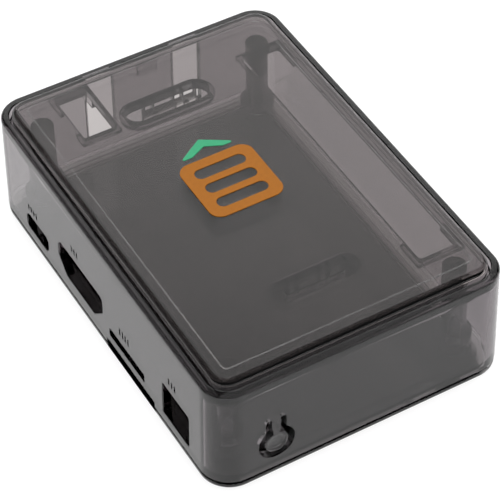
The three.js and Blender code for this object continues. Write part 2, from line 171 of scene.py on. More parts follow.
def offset(points, distance):
    """The outline moved outwards, with mitred corners."""
    if abs(distance) < 1e-9:
        return list(points)
    count, moved = len(points), []
    for i in range(count):
        before = np.array(points[i - 1], float)
        here = np.array(points[i], float)
        after = np.array(points[(i + 1) % count], float)
        edge_in, edge_out = here - before, after - here
        normal_in = np.array([edge_in[1], -edge_in[0]]) / np.linalg.norm(edge_in)
        normal_out = np.array([edge_out[1], -edge_out[0]]) / np.linalg.norm(edge_out)
        mitre = normal_in + normal_out
        moved.append(tuple(here + mitre * (distance / max(0.25, 1 + normal_in @ normal_out))))
    return moved


def soften(points, radius, steps=6):
    """The outline with each corner rounded off where it turns by more than 20 degrees."""
    count, rounded = len(points), []
    for i in range(count):
        before, here, after = (Vector(points[j % count]) for j in (i - 1, i, i + 1))
        to_before, to_after = (before - here).normalized(), (after - here).normalized()
        turn = math.pi - to_before.angle(to_after)
        if turn < math.radians(20):
            rounded.append(tuple(here))
            continue
        setback = radius * math.tan(turn / 2)
        setback = min(setback, (before - here).length * 0.45, (after - here).length * 0.45)
        fitted = setback / math.tan(turn / 2)
        start, end = here + to_before * setback, here + to_after * setback
        centre = here + (to_before + to_after).normalized() * math.hypot(fitted, setback)
        from_start, from_end = start - centre, end - centre
        for k in range(steps + 1):
            t = k / steps
            spoke = (from_start * math.sin((1 - t) * turn)
                     + from_end * math.sin(t * turn)) / math.sin(turn)
            rounded.append(tuple(centre + spoke))
    return rounded


def quarter_round(radius, steps=6):
    """Steps of a fillet: (how far in, how far up) from its start."""
    angles = [math.pi / 2 * i / steps for i in range(steps + 1)]
    return [(radius * (1 - math.cos(a)), radius * math.sin(a)) for a in angles]


# ---- placing outlines in space: levels are (position, outline) ------------------------------------
def up(levels):
    """Outlines in (x, y), stacked along Z."""
    return [[(x, y, z) for x, y in points] for z, points in levels]


def front_wall(levels):
    """Outlines in (x, z), each at a depth behind the -Y wall's drafted outer face."""
    return [[(x, -(TOP_W / 2 + lean(z)) + depth, z) for x, z in points]
            for depth, points in levels]


def right_wall(levels):
    """Outlines in (y, z), each at a depth behind the +X wall's outer face."""
    return [[(TOP_L / 2 + lean(z) - depth, y, z) for y, z in points]
            for depth, points in levels]


def left_wall(levels):
    """Outlines in (y, z), each at a depth behind the -X wall's outer face."""
    return [[(-(TOP_L / 2 + lean(z)) + depth, y, z) for y, z in points]
            for depth, points in levels]


def along_x(points, x0, x1):
    return [[(x, y, z) for y, z in points] for x in (x0, x1)]


def along_y(points, y0, y1):
    return [[(x, y, z) for x, z in points] for y in (y0, y1)]


# ---- solids -------------------------------------------------------------------------------------
def link_mesh(bm, name="part"):
    mesh = bpy.data.meshes.new(name)
    bm.to_mesh(mesh)
    bm.free()
    obj = bpy.data.objects.new(name, mesh)
    bpy.context.scene.collection.objects.link(obj)
    return obj


def link_solid(bm):
    """Links a closed mesh, its faces turned outwards."""
    if bm.calc_volume(signed=True) < 0:
        bmesh.ops.reverse_faces(bm, faces=bm.faces)
    return link_mesh(bm)


def bridge(bm, low, high):
    """A band of faces between two rings with equal point counts."""
    count = len(low)
    for i in range(count):
        j = (i + 1) % count
        bm.faces.new((low[i], low[j], high[j], high[i]))


def turned_ring(bm, radii, z):
    """Vertices evenly spaced round the Z axis, one for each radius."""
    count = len(radii)
    ring = []
    for i, radius in enumerate(radii):
        angle = 2 * math.pi * i / count
        ring.append(bm.verts.new((radius * math.cos(angle), radius * math.sin(angle), z)))
    return ring


def solid(rings):
    """A closed solid through a stack of 3-D outlines with equal point counts."""
    bm = bmesh.new()
    verts = [[bm.verts.new(p) for p in ring] for ring in rings]
    for low, high in zip(verts, verts[1:]):
        bridge(bm, low, high)
    bm.faces.new(list(reversed(verts[0])))
    bm.faces.new(verts[-1])
    bmesh.ops.recalc_face_normals(bm, faces=bm.faces)
    return link_solid(bm)


def box(x0, x1, y0, y1, z0, z1):
    return solid(up([(z, rect(x0, x1, y0, y1)) for z in (z0, z1)]))


def lathe(profile, centre, axis="Z", segments=64):
    """A turned solid. profile: (radius, position along the axis), from pole to pole."""
    bm = bmesh.new()
    rings = []
    for radius, t in profile:
        if radius < 1e-6:
            rings.append([bm.verts.new((0, 0, t))])
        else:
            rings.append(turned_ring(bm, [radius] * segments, t))
    for low, high in zip(rings, rings[1:]):
        if len(low) > 1 and len(high) > 1:
            bridge(bm, low, high)
            continue
        for i in range(segments):
            j = (i + 1) % segments
            if len(low) == 1:
                bm.faces.new((low[0], high[j], high[i]))
            else:
                bm.faces.new((low[i], low[j], high[0]))
    bmesh.ops.recalc_face_normals(bm, faces=bm.faces)
    if axis == "X":
        quarter_turn = Matrix.Rotation(math.pi / 2, 3, "Y")
        bmesh.ops.rotate(bm, verts=bm.verts, cent=(0, 0, 0), matrix=quarter_turn)
    bmesh.ops.translate(bm, verts=bm.verts, vec=centre)
    return link_solid(bm)


def combine(base, steps):
    """Joins and cuts solids: steps is [("add" | "cut", [solids]), ...]. The tools are used up."""
    tools = []
    for action, items in steps:
        for tool in items:
            boolean = base.modifiers.new("b", "BOOLEAN")
            boolean.operation = "UNION" if action == "add" else "DIFFERENCE"
            boolean.solver = "MANIFOLD"
            boolean.object = tool
            tools.append(tool)
    depsgraph = bpy.context.evaluated_depsgraph_get()
    depsgraph.update()
    mesh = bpy.data.meshes.new_from_object(base.evaluated_get(depsgraph), depsgraph=depsgraph)
    base.modifiers.clear()
    old, base.data = base.data, mesh
    bpy.data.meshes.remove(old)
    for tool in tools:
        data = tool.data
        bpy.data.objects.remove(tool)
        bpy.data.meshes.remove(data)
    return base


def finish_mesh(obj, name, sharp_from=32):
    """Millimetres to metres, seams tidied, smooth shading with edges from sharp_from degrees
    kept hard and flat faces left flat."""
    obj.name = name
    obj.data.name = name
    bm = bmesh.new()
    bm.from_mesh(obj.data)
    bmesh.ops.remove_doubles(bm, verts=bm.verts, dist=0.002)
    bmesh.ops.dissolve_degenerate(bm, edges=bm.edges, dist=0.001)
    bmesh.ops.recalc_face_normals(bm, faces=bm.faces)
    bmesh.ops.scale(bm, vec=(0.001, 0.001, 0.001), verts=bm.verts)
    limit = math.radians(sharp_from)
    for face in bm.faces:
        face.smooth = True
    for edge in bm.edges:
        if len(edge.link_faces) == 2:
            edge.smooth = edge.calc_face_angle(0.0) < limit
    bm.to_mesh(obj.data)
    bm.free()
    weighted = obj.modifiers.new("flat faces stay flat", "WEIGHTED_NORMAL")
    weighted.mode = "FACE_AREA"
    weighted.weight = 50
    weighted.keep_sharp = True
    return obj


# ---- upper shell: deck, ribs and posts ------------------------------------------------------------
def shell_body():
    """The outer block, its foot edge eased and its rim rounded."""
    fillet, crown = 0.55, 0.05         # the rim's top falls away by crown towards the outside
    levels = [(WALL_Z0 + rise, wall_ring(inset, WALL_Z0 + rise))
              for rise, inset in ((0, 0.12), (0.05, 0.035), (0.14, 0))]
    start = RIM_Z - fillet - crown
    levels += [(start + rise, wall_ring(inset, start + rise))
               for inset, rise in quarter_round(fillet, FILLET_STEPS)]
    levels += [(RIM_Z - crown + crown * t, wall_ring(fillet + 0.75 * t, RIM_Z))
               for t in (0.35, 0.7, 1.0)]
    return solid(up(levels))


def cavity():
    radius = 0.35
    start = DECK_Z - DECK_T - radius
    levels = [(WALL_Z0 - 1, wall_ring(WALL, WALL_Z0 - 1))]
    levels += [(start + rise, wall_ring(WALL + inset, start + rise))
               for inset, rise in quarter_round(radius, 5)]
    return solid(up(levels))


def recess():
    radius = 0.22
    fillet = quarter_round(radius, 4)
    levels = [(DECK_Z + radius - rise, recess_ring(inset)) for inset, rise in reversed(fillet)]
    levels += [(RIM_Z - radius + rise, recess_ring(-inset)) for inset, rise in fillet]
    levels.append((RIM_Z + 1, recess_ring(-radius)))
    return solid(up(levels))


def rib(x0, x1, y0, y1, foot=RIB_BOTTOM):
    """A moulded rib under the deck: slightly narrower at its foot, with a rounded foot edge."""
    levels = ((foot, 0.16), (foot + 0.05, 0.09), (foot + 0.16, 0.04), (RIB_TOP, 0.0))
    return solid(up([(z, offset(rect(x0, x1, y0, y1), -inset)) for z, inset in levels]))


def well_collar(centre):
    wall = 1.0
    levels = ((RIB_BOTTOM, 0.14), (RIB_BOTTOM + 0.05, 0.06), (RIB_BOTTOM + 0.15, 0.0),
              (RIB_TOP, 0.0))
    return solid(up([
        (z, stadium(centre, WELL_HALF_X + wall - inset, WELL_HALF_Y + wall - inset))
        for z, inset in levels]))


def small_window_ribs():
    left, right, front, rear = SMALL_WINDOW
    x0, x1, y0, y1 = left - RIB_T - 0.5, right + RIB_T, front - RIB_T, rear + RIB_T
    return [
        rib(x0, x1, rear - RIB_LAP, y1),
        rib(right - RIB_LAP, x1, y0, y1),
        rib(x0, left + RIB_LAP, y0, y1),
        rib(x0, -32.4, y0, front + RIB_LAP),
        rib(-26.6, x1, y0, front + RIB_LAP),
        rib(x0, -33.9, rear - RIB_LAP, y1, RIB_BOTTOM - 1.5),
    ]


def long_window_ribs():
    left, right, front, rear = LONG_WINDOW
    x0, x1, y0, y1 = left - RIB_T - 0.3, right + RIB_T, front - RIB_T, rear + RIB_T
    return [
        rib(right - RIB_LAP, x1, y0, y1),
        rib(23.2, x1, y0, front + RIB_LAP),
        rib(22.6, x1, rear - RIB_LAP, y1),
        rib(x0, left + RIB_LAP, y0, y1),
        rib(x0, -23.6, y0, front + RIB_LAP),
        rib(x0, -23.8, rear - RIB_LAP, y1),
    ]


def deck_cutter(outline):
    """Cuts through the deck with a rounded upper edge. outline(e) is the opening grown by e."""
    radius = 0.2
    levels = [(10, outline(0))]
    levels += [(DECK_Z - radius + rise, outline(grow))
               for grow, rise in quarter_round(radius, 4)]
    levels.append((RIM_Z + 1, outline(radius)))
    return solid(up(levels))


def well_cutter(centre):
    return deck_cutter(lambda e: stadium(centre, WELL_HALF_X + e, WELL_HALF_Y + e))


def window_cutter(window, radius):
    x0, x1, y0, y1 = window
    return deck_cutter(lambda e: round_rect(x0 - e, x1 + e, y0 - e, y1 + e, radius + e, 8))


def post(x, y):
    return lathe([
        (0, FOOT_Z0), (FOOT_R - 0.15, FOOT_Z0), (FOOT_R - 0.04, FOOT_Z0 + 0.05),
        (FOOT_R, FOOT_Z0 + 0.16), (FOOT_R, FOOT_Z1 - 0.2), (FOOT_R - 0.06, FOOT_Z1 - 0.06),
        (FOOT_R - 0.2, FOOT_Z1), (POST_R + 0.22, FOOT_Z1), (POST_R + 0.07, FOOT_Z1 + 0.07),
        (POST_R, FOOT_Z1 + 0.25), (POST_R, RIB_TOP), (0, RIB_TOP),
    ], (x, y, 0))


def pilot_hole(x, y):
    mouth_r = PILOT_R + 0.25
    return lathe([
        (0, 0), (mouth_r, 0), (mouth_r, FOOT_Z0), (PILOT_R, FOOT_Z0 + 0.25),
        (PILOT_R, PILOT_Z - 0.3), (0, PILOT_Z),
    ], (x, y, 0))


def wedge():
    """A block in the corner of the -X wall and the deck, tapering at its foot."""
    side = [(-38.2, 19.0), (-38.2, 15.6), (-36.85, 16.0), (-36.75, 19.0)]     # x, z
    return solid(along_y(side, 0.2, 3.9))


# ---- openings in the walls ------------------------------------------------------------------------
def mouth_levels(points, flare, widen=offset):
    """An opening rounded over on the outside. widen(points, e) moves the outline out by e."""
    levels = [(-1.0, widen(points, flare)), (0.0, widen(points, flare))]
    for i in range(1, 6):
        angle = math.pi / 2 * i / 5
        levels.append((flare * (1 - math.cos(angle)),
                       widen(points, flare * (1 - math.sin(angle)))))
    return levels


def wall_cutter(points, flare, place, widen=offset):
    return solid(place(mouth_levels(points, flare, widen) + [(CUT_DEPTH, list(points))]))


def front_openings():
    """The ports in the -Y wall, from left to right, and a notch at the wall's foot."""
    eight_sided = soften([(-14.7, 7.0), (-11.9, 4.2), (-1.9, 4.2), (1.0, 6.9),
                          (1.0, 9.7), (0.4, 10.3), (-13.9, 10.3), (-14.7, 9.5)], 0.35)   # x, z
    notch = rect(2.3, 18.9, 0, 2.55)
    return [
        wall_cutter(round_rect(-27.0, -19.0, 3.45, 6.6, 1.05, 10), 0.25, front_wall),
        wall_cutter(eight_sided, 0.3, front_wall),
        wall_cutter(round_rect(3.5, 15.5, 4.1, 5.8, 0.2, 5), 0.12, front_wall),
        wall_cutter(round_rect(21.8, 30.3, 3.35, 10.2, 0.25, 5), 0.25, front_wall),
        solid(front_wall([(-1.0, notch), (CUT_DEPTH, notch)])),
    ]


def left_openings():
    """Two tall openings in the -X wall; their tops stand clear of the cavity's ceiling."""
    inner_x, half_width = -36.9, 2.75
    cutters = []
    for y in (-7.0, 10.15):
        points = round_rect(y - half_width, y + half_width, 4.6, 19.0, 0.3, 5)
        inner_ring = [(inner_x, *point) for point in points]
        cutters.append(solid(left_wall(mouth_levels(points, 0.2)) + [inner_ring]))
    return cutters


def engraved_bars():
    """Groups of plain upright bars over the front ports."""
    pitch, half_width, depth, flare = 0.95, 0.17, 0.22, 0.05
    groups = [(-24.6, 7.9, 4, 1.25), (-8.6, 12.1, 3, 1.25),    # centre x, foot z, bars, height
              (8.7, 7.6, 4, 1.5), (25.0, 12.0, 3, 1.25)]
    cutters = []
    for centre, foot, count, height in groups:
        for i in range(count):
            x = centre + (i - (count - 1) / 2) * pitch
            bar = rect(x - half_width, x + half_width, foot, foot + height)
            wide = offset(bar, flare)
            cutters.append(solid(front_wall([(-1.0, wide), (0.0, wide), (depth, bar)])))
    return cutters


def button_outline(radius, stem, crest, steps):
    """A disc round the button's centre with a stem above, in (y, z), anticlockwise.
    crest: the points over the stem, from +Y to -Y."""
    half_gap = math.asin(stem / radius)
    root_z = BUTTON_Z + radius * math.cos(half_gap)
    points = [(BUTTON_Y + stem, root_z), *crest, (BUTTON_Y - stem, root_z)]
    for i in range(1, steps):
        angle = math.pi / 2 + half_gap + (2 * math.pi - 2 * half_gap) * i / steps
        points.append((BUTTON_Y + radius * math.cos(angle),
                       BUTTON_Z + radius * math.sin(angle)))
    return points


def keep_level(top, direction):
    """An offset that keeps the stem's corners at height top.
    direction is 1 where growing the outline widens the stem, -1 where it narrows it."""
    def move(points, distance):
        moved = []
        for (y, z), shifted in zip(points, offset(points, distance)):
            if abs(z - top) < 1e-6 and abs(abs(y - BUTTON_Y) - PADDLE_STEM) < 1e-6:
                shifted = (y + math.copysign(distance, y - BUTTON_Y) * direction, top)
            moved.append(shifted)
        return moved
    return move


def button_slot():
    """A ring round the paddle with two round-ended prongs beside the stem."""
    crest = []
    for y in (BUTTON_Y + PADDLE_STEM + PRONG_R, BUTTON_Y - PADDLE_STEM - PRONG_R):
        for i in range(13):
            angle = math.pi * i / 12
            crest.append((y + PRONG_R * math.cos(angle), PRONG_Z + PRONG_R * math.sin(angle)))
    keyhole = button_outline(KEY_R, KEY_STEM, crest, 56)
    return wall_cutter(keyhole, 0.14, right_wall, keep_level(PRONG_Z, -1))


def build_shell():
    body = shell_body()
    ribs = [well_collar(centre) for centre in WELLS] + small_window_ribs() + long_window_ribs()
    posts = [post(x, y) for x, y in HOLES.values()]
    deck_holes = [well_cutter(centre) for centre in WELLS]
    deck_holes += [window_cutter(SMALL_WINDOW, 0.25), window_cutter(LONG_WINDOW, 0.7)]
    pilots = [pilot_hole(x, y) for x, y in HOLES.values()]
    openings = front_openings() + left_openings() + engraved_bars() + [button_slot()]
    combine(body, [
        ("cut", [cavity(), recess()]),
        ("add", ribs + posts + [wedge()]),
        ("cut", deck_holes + pilots + openings),
    ])
    return finish_mesh(body, "shell_clear")


# ---- power button: a dished paddle whose stem runs up into the wall ---------------------------------
def build_button():
    crest = [(BUTTON_Y + PADDLE_STEM, STEM_TOP), (BUTTON_Y - PADDLE_STEM, STEM_TOP)]
    outline = button_outline(PADDLE_R, PADDLE_STEM, crest, 48)
    move = keep_level(STEM_TOP, 1)
    edges = ((0.0, 0.2), (0.02, 0.12), (0.07, 0.05), (0.16, 0.01), (0.22, 0.0),
             (WALL - 0.16, 0.0), (WALL - 0.05, 0.06), (WALL, 0.16))           # depth, inset
    button = solid(right_wall([(depth, move(outline, -inset)) for depth, inset in edges]))
    centre = (TOP_L / 2 + lean(BUTTON_Z), BUTTON_Y, BUTTON_Z)
    dish = lathe([
        (0, -0.17), (0.4, -0.165), (0.8, -0.15), (1.2, -0.12), (1.5, -0.07), (1.68, -0.02),
        (1.78, 0.02), (1.78, 1.0), (0, 1.0),
    ], centre, "X", 72)
    boss = lathe([
        (0, -WALL - 1.1), (0.95, -WALL - 1.1), (1.06, -WALL - 1.05), (1.1, -WALL - 0.95),
        (1.1, -WALL + 0.3), (0, -WALL + 0.3),
    ], centre, "X", 48)
    combine(button, [("cut", [dish]), ("add", [boss])])
    return finish_mesh(button, "button_clear")


# ---- bottom cover -----------------------------------------------------------------------------------
def cover_solid(levels):
    """levels: (z, inset, height at which the wall's draft is taken)."""
    return solid(up([(z, cover_ring(inset, draft_z)) for z, inset, draft_z in levels]))


def cover_boss(x, y):
    return lathe([
        (0, FLOOR_T - 0.3), (BOSS_R, FLOOR_T - 0.3), (BOSS_R, BOSS_Z - 0.15),
        (BOSS_R - 0.04, BOSS_Z - 0.04), (BOSS_R - 0.15, BOSS_Z), (0, BOSS_Z),
    ], (x, y, 0))


def screw_hole(x, y):
    """The screw's way through the cover: a pocket for the head and a hole for the shank."""
    return lathe([
        (0, -1), (POCKET_R + 0.12, -1), (POCKET_R + 0.12, 0), (POCKET_R, 0.14),
        (POCKET_R, POCKET_Z), (SHANK_R, POCKET_Z), (SHANK_R, BOSS_Z + 1), (0, BOSS_Z + 1),
    ], (x, y, 0))


def build_cover():
    edges = ((0, 0.2), (0.03, 0.12), (0.09, 0.05), (0.2, 0),
             (COVER_T - 0.12, 0), (COVER_T - 0.03, 0.04), (COVER_T, 0.13))    # z, inset
    plate = cover_solid([(z, inset, z) for z, inset in edges])
    # the plate steps up inside the wall
    step = cover_solid([
        (COVER_T - 0.2, STEP_INSET, COVER_T),
        (FLOOR_T - 0.12, STEP_INSET, FLOOR_T),
        (FLOOR_T - 0.03, STEP_INSET + 0.04, FLOOR_T),
        (FLOOR_T, STEP_INSET + 0.13, FLOOR_T),
    ])
    lip = cover_solid([
        (COVER_T - 0.2, LIP_INSET, COVER_T),
        (LIP_Z - 0.15, LIP_INSET, LIP_Z),
        (LIP_Z - 0.04, LIP_INSET + 0.04, LIP_Z),
        (LIP_Z, LIP_INSET + 0.15, LIP_Z),
    ])
    # the hollow inside the lip
    tray = cover_solid([
        (FLOOR_T, LIP_INSET + LIP_T + 0.25, FLOOR_T),
        (FLOOR_T + 0.07, LIP_INSET + LIP_T + 0.07, FLOOR_T),
        (FLOOR_T + 0.25, LIP_INSET + LIP_T, FLOOR_T),
        (LIP_Z + 1, LIP_INSET + LIP_T, LIP_Z),
    ])
    notch = box(2.6, 18.6, -30, -21.8, COVER_T, LIP_Z + 1)
    combine(plate, [
        ("add", [step, lip]),
        ("cut", [tray, notch]),
        ("add", [cover_boss(x, y) for x, y in HOLES.values()]),
        ("cut", [screw_hole(x, y) for x, y in HOLES.values()]),
    ])
    return finish_mesh(plate, "cover_clear")


# ---- lid: a skirted panel with a raised field ---------------------------------------------------------
def build_lid():
    levels = [(LID_BOTTOM, lid_ring(0.1)), (LID_BOTTOM + 0.1, lid_ring(0.0))]
    levels += [(LID_Z - LID_FILLET + rise, lid_ring(inset))
               for inset, rise in quarter_round(LID_FILLET, FILLET_STEPS)]
    lid = solid(up(levels))
    field_levels = ((-0.3, 0), (0, 0), (0.1, 0.07), (0.14, 0.13), (FIELD_H, 0.2))
    field = solid(up([(LID_Z + rise, field_ring(inset)) for rise, inset in field_levels]))
    hollow = solid(up([
        (LID_BOTTOM - 1, lid_ring(LID_SKIRT)),
        (LID_CEILING - 0.2, lid_ring(LID_SKIRT)),
        (LID_CEILING - 0.06, lid_ring(LID_SKIRT + 0.06)),
        (LID_CEILING, lid_ring(LID_SKIRT + 0.2)),
    ]))
    combine(lid, [("add", [field]), ("cut", [hollow])])
    return finish_mesh(lid, "lid_clear", 40)


# ---- latch tongues --------------------------------------------------------------------------------------
def build_latch(name, x0, x1, y0, y1, windows):
    """A tongue with rounded corners, a foot thinned from -X, windows at its root and two
    gussets on its +X face."""
    foot_cut, foot_height = 0.3, 0.8
    side = soften(rect(y0, y1, LATCH_Z0, LATCH_Z1 + 1), 0.45)
    thick = x1 - x0
    rings = []
    for depth, inset in ((0.0, 0.12), (0.05, 0.04), (0.14, 0.0),
                         (thick - 0.14, 0.0), (thick - 0.05, 0.04), (thick, 0.12)):
        ring = []
        for y, z in offset(side, -inset):
            taper = max(0, 1 - (z - LATCH_Z0) / foot_height)
            ring.append((x0 + depth + max(0, foot_cut - depth) * taper, y, z))
        rings.append(ring)
    tongue = solid(rings)

    gusset_side = soften([(x1 - 0.3, SILL - 1.8), (x1 + 0.5, SILL - 0.9),
                          (x1 + 0.5, SILL - 0.3), (x1 - 0.3, SILL - 0.3)], 0.1, 3)
    middle = (y0 + y1) / 2
    gussets = [solid(along_y(gusset_side, middle + shift, middle + shift + 0.9))
               for shift in (-3.5, 2.5)]
    # squares the tongue off just under the lid's ceiling
    cuts = [box(x0 - 1, x1 + 2, y0 - 1, y1 + 1, LATCH_Z1, LATCH_Z1 + 3)]
    for start, end in windows:
        window = soften(rect(start, end, SILL, LATCH_Z1 + 2), 0.12, 4)
        cuts.append(solid(along_x(window, x0 - 1, x1 + 1)))
    combine(tongue, [("add", gussets), ("cut", cuts)])
    return finish_mesh(tongue, name)


# ---- screws ---------------------------------------------------------------------------------------------
SCREW_HEAD = [(0.7, 0.25), (1.25, 0.29), (1.7, 0.4), (2.0, 0.58), (2.15, 0.8),
              (2.2, 1.05), (2.2, 1.32), (2.12, 1.4), (1.12, 1.4)]             # radius, z
SCREW_END = [(0.62, 8.2), (0.35, 8.75)]
SCREW_TIP = 9.0
THREAD_Z0, THREAD_Z1, THREAD_PITCH = 1.55, 7.9, 0.9
THREAD_ROOT, THREAD_CREST = 0.82, 1.12


def thread_radius(turn, z):
    """Radius of the thread at a fraction of a turn, fading in and out at its ends."""
    phase = ((z - THREAD_Z0) / THREAD_PITCH - turn) % 1.0
    tooth = max(0.0, 1 - abs(phase - 0.5) / 0.32)
    fade_in = min(1.0, (z - THREAD_Z0) / 0.8)
    fade_out = min(1.0, (SCREW_END[0][1] - z) / 1.2)
    return THREAD_ROOT + (THREAD_CREST - THREAD_ROOT) * tooth * fade_in * fade_out


def cross_recess():
    """Two crossed tapering bars, cut into the head."""
    half_width, half_length = 0.24, 1.15
    mouth = rect(-half_length, half_length, -half_width, half_width)
    end_x, end_y = half_length * 0.55, half_width * 0.6
    end = rect(-end_x, end_x, -end_y, end_y)
    cutters = []
    for crossed in (False, True):
        if crossed:
            mouth, end = [(-y, x) for x, y in mouth], [(-y, x) for x, y in end]
        cutters.append(solid(up([(-0.5, mouth), (0.26, mouth), (1.0, end)])))
    return cutters


def build_screw(name, x, y):
    """A pan-head screw, head down, with a rolled thread and a cross recess."""
    segments = 40
    thread_step = 0.09
    rings = [([radius] * segments, z) for radius, z in SCREW_HEAD]
    z = THREAD_Z0
    while z < THREAD_Z1:
        rings.append(([thread_radius(i / segments, z) for i in range(segments)], z))
        z += thread_step
    rings += [([radius] * segments, z) for radius, z in SCREW_END]
    bm = bmesh.new()
    verts = [turned_ring(bm, radii, z) for radii, z in rings]
    for low, high in zip(verts, verts[1:]):
        bridge(bm, low, high)
    bm.faces.new(list(reversed(verts[0])))
    tip = bm.verts.new((0, 0, SCREW_TIP))
    for i in range(segments):
        bm.faces.new((verts[-1][i], verts[-1][(i + 1) % segments], tip))
    bmesh.ops.recalc_face_normals(bm, faces=bm.faces)
    screw = combine(link_mesh(bm), [("cut", cross_recess())])
    screw.data.transform(Matrix.Translation((x, y, 0)))
    return finish_mesh(screw, name, 38)


# ---- printed emblem on the lid: a slotted square and a chevron to its left --------------------------------
INK_Z0, INK_T = LID_Z + FIELD_H + 0.02, 0.12
INK_EDGE_Z = INK_Z0 + INK_T * 0.7      # the print's edge is bevelled above this
INK_BEVEL = 0.05
EMBLEM_X, EMBLEM_Y, EMBLEM_HALF = -1.15, -1.3, 6.8


def build_print(name, outline, holes=()):
    layer = solid(up([(INK_Z0, outline), (INK_EDGE_Z, outline),
                      (INK_Z0 + INK_T, offset(outline, -INK_BEVEL))]))
    cuts = []
    for hole in holes:
        wide = offset(hole, INK_BEVEL)
        cuts.append(solid(up([(INK_Z0 - 1, hole), (INK_EDGE_Z, hole),
                              (INK_Z0 + INK_T, wide), (INK_Z0 + 1, wide)])))
    if cuts:
        combine(layer, [("cut", cuts)])
    return finish_mesh(layer, name)


def build_print_square():
    pitch, half_x, half_y = 3.7, 1.15, 4.7
    slots = []
    for i in (-1, 0, 1):
        x = EMBLEM_X + i * pitch
        slots.append(round_rect(x - half_x, x + half_x, EMBLEM_Y - half_y, EMBLEM_Y + half_y,
                                1.1, 12))
    square = round_rect(EMBLEM_X - EMBLEM_HALF, EMBLEM_X + EMBLEM_HALF,
                        EMBLEM_Y - EMBLEM_HALF, EMBLEM_Y + EMBLEM_HALF, 2.2, 20)
    return build_print("print_square", square, slots)


def build_print_chevron():
    tip_x = EMBLEM_X - EMBLEM_HALF - 4.4
    corners = [(0, 0), (3.3, -5.2), (3.3, -2.9), (1.9, 0), (3.3, 2.9), (3.3, 5.2)]  # from the tip
    outline = [(tip_x + x, EMBLEM_Y + y) for x, y in corners]
    return build_print("print_chevron", soften(outline, 0.25, 5))


shell = build_shell()
button = build_button()
cover = build_cover()
lid = build_lid()
latch_far = build_latch("latch_far_clear", *FAR_LATCH)
latch_near = build_latch("latch_near_clear", *NEAR_LATCH)
screws = {place: build_screw("screw_" + place, x, y) for place, (x, y) in HOLES.items()}
print_square = build_print_square()
print_chevron = build_print_chevron()


# ---- shader helpers: an input given as a socket is linked, any other is set ------------------------------
def add_node(tree, kind, inputs=None, **settings):
    node = tree.nodes.new(kind)
    for key, value in settings.items():
        setattr(node, key, value)
    for key, value in (inputs or {}).items():
        if isinstance(value, bpy.types.NodeSocket):
            tree.links.new(value, node.inputs[key])
        else:
            node.inputs[key].default_value = value
    return node


def math_node(tree, operation, first, second=0.0, third=None):
    inputs = {0: first, 1: second}
    if third is not None:
        inputs[2] = third
    return add_node(tree, "ShaderNodeMath", inputs, operation=operation).outputs[0]


def fold(tree, operation, values):
    result = values[0]
    for value in values[1:]:
        result = math_node(tree, operation, result, value)
    return result


def map_range(tree, value, to_min=0.0, to_max=1.0, from_min=0.0, from_max=1.0, **settings):
    inputs = {"Value": value, "From Min": from_min, "From Max": from_max,
              "To Min": to_min, "To Max": to_max}
    return add_node(tree, "ShaderNodeMapRange", inputs, **settings).outputs["Result"]


def noise(tree, vector, scale, detail):
    inputs = {"Vector": vector, "Scale": scale, "Detail": detail}
    return add_node(tree, "ShaderNodeTexNoise", inputs).outputs["Fac"]


def color_ramp(tree, factor, low, high, start=0.0, end=1.0):
    node = add_node(tree, "ShaderNodeValToRGB", {"Fac": factor})
    elements = node.color_ramp.elements
    elements[0].position = start
    elements[1].position = end
    elements[0].color = (*low, 1)
    elements[1].color = (*high, 1)
    return node.outputs["Color"]


def object_coords(tree):
    return add_node(tree, "ShaderNodeTexCoord").outputs["Object"]


def new_material(name):
    material = bpy.data.materials.new(name)
    material.use_nodes = True
    material.node_tree.nodes.clear()
    return material, material.node_tree


def inside_box(tree, position, low, high):
    """1 where a position in metres lies in the box given in mm, else 0."""
    axes = add_node(tree, "ShaderNodeSeparateXYZ", {0: position})
    within = []
    for axis, start, end in zip("XYZ", low, high):
        start, end = start * 0.001, end * 0.001
        within.append(math_node(tree, "COMPARE", axes.outputs[axis],
                                (start + end) / 2, (end - start) / 2))
    return fold(tree, "MULTIPLY", within)


# ---- materials ------------------------------------------------------------------------------------------
def smoke(name, absorb, welds, tones):
    """Polished clear resin.
    absorb: absorption along the path inside it, in 1/m for red, green and blue.
    welds: boxes (low, high) whose surfaces neither bend nor reflect light.
    tones: boxes (low, high, shade, painted light) of painted shade and painted light: shade makes the surface
    pass less light, painted light is the share of the surface made opaque and diffusely lit, so it reads
    lighter."""
    roughness, ior = 0.02, 1.5
    material, tree = new_material(name)
    bsdf = add_node(tree, "ShaderNodeBsdfPrincipled", {
        "Base Color": (1, 1, 1, 1), "Transmission Weight": 1.0, "IOR": ior})
    coords = object_coords(tree)
    # the polish varies slowly over the moulding
    polish = map_range(tree, noise(tree, coords, scale=240, detail=2),
                       to_min=roughness * 0.85, to_max=roughness * 1.1,
                       from_min=0.35, from_max=0.7)
    tree.links.new(polish, bsdf.inputs["Roughness"])

    shades, clears = [], []
    for low, high, shade, painted_light in tones:
        mask = inside_box(tree, coords, low, high)
        if shade != 1:
            shades.append(map_range(tree, mask, to_min=1.0, to_max=shade))
        if painted_light != 0:
            clears.append(map_range(tree, mask, to_min=1.0, to_max=1 - painted_light))
    tree.links.new(fold(tree, "MULTIPLY", shades), bsdf.inputs["Base Color"])
    tree.links.new(fold(tree, "MULTIPLY", clears), bsdf.inputs["Transmission Weight"])

    weld = fold(tree, "MAXIMUM", [inside_box(tree, coords, *ends) for ends in welds])
    tree.links.new(map_range(tree, weld, to_min=ior, to_max=1.0001), bsdf.inputs["IOR"])

    density = max(absorb) * 1.05
    volume = add_node(tree, "ShaderNodeVolumeAbsorption", {
        "Color": (*[1 - a / density for a in absorb], 1), "Density": density})
    add_node(tree, "ShaderNodeOutputMaterial", {
        "Surface": bsdf.outputs["BSDF"], "Volume": volume.outputs["Volume"]})
    return material


